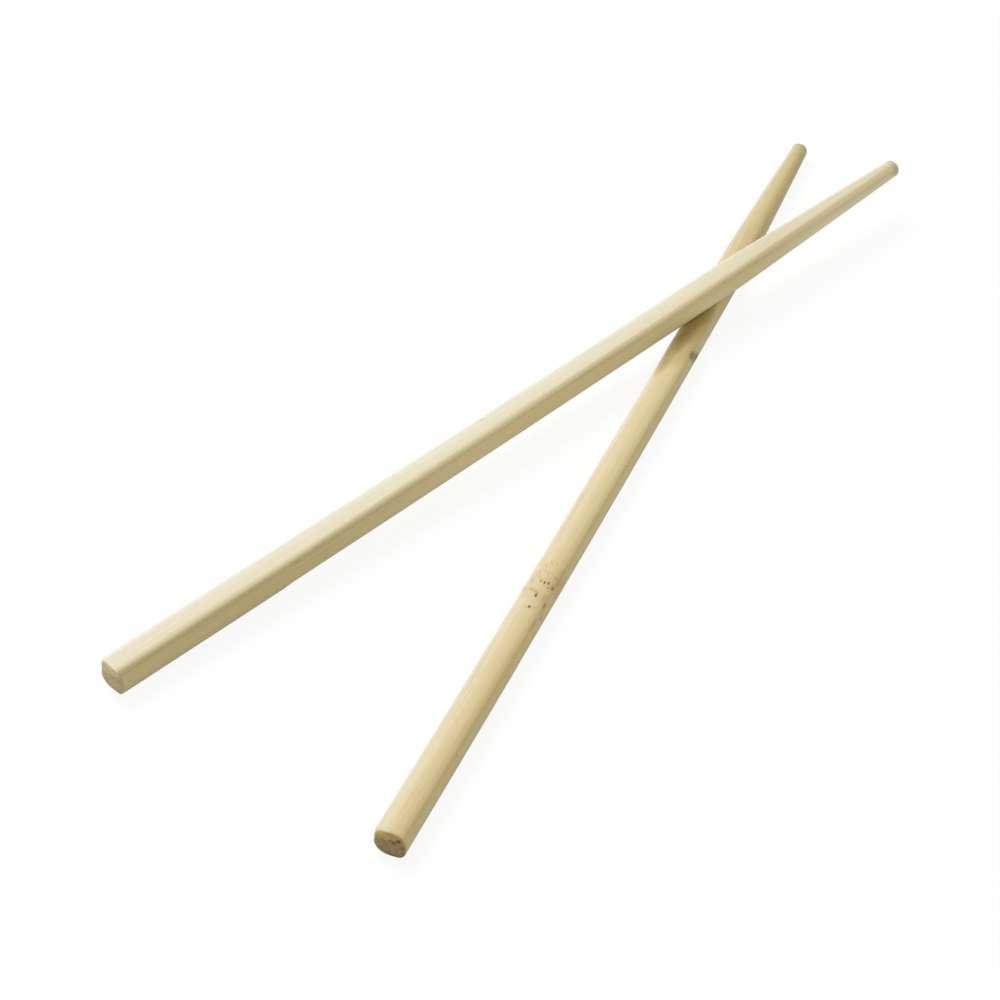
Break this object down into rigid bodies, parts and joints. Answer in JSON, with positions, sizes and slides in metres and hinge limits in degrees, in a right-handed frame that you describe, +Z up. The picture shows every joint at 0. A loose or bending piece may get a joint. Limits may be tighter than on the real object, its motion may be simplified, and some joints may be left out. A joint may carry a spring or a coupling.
{
  "type": "pair of bamboo chopsticks",
  "caption": "Pale bamboo chopsticks with rounded square handles and tapered round points, one resting across the other.",
  "frame": {"origin": "on the table surface, under the middle of the pair's common bounding box", "axes": "+Y along the lower chopstick towards its tip, +Z up from the table; the upper chopstick crosses it from left to right"},
  "size_m": [0.1034, 0.23, 0.0129],
  "materials": {
    "lower_bamboo": "planed and lightly sanded raw bamboo, honey coloured, with a brown joint scar",
    "upper_bamboo": "planed and lightly sanded raw bamboo, pale cream"
  },
  "bodies": {
    "root": {"lower_chopstick": "lower_bamboo", "upper_chopstick": "upper_bamboo"}
  },
  "joints": []
}
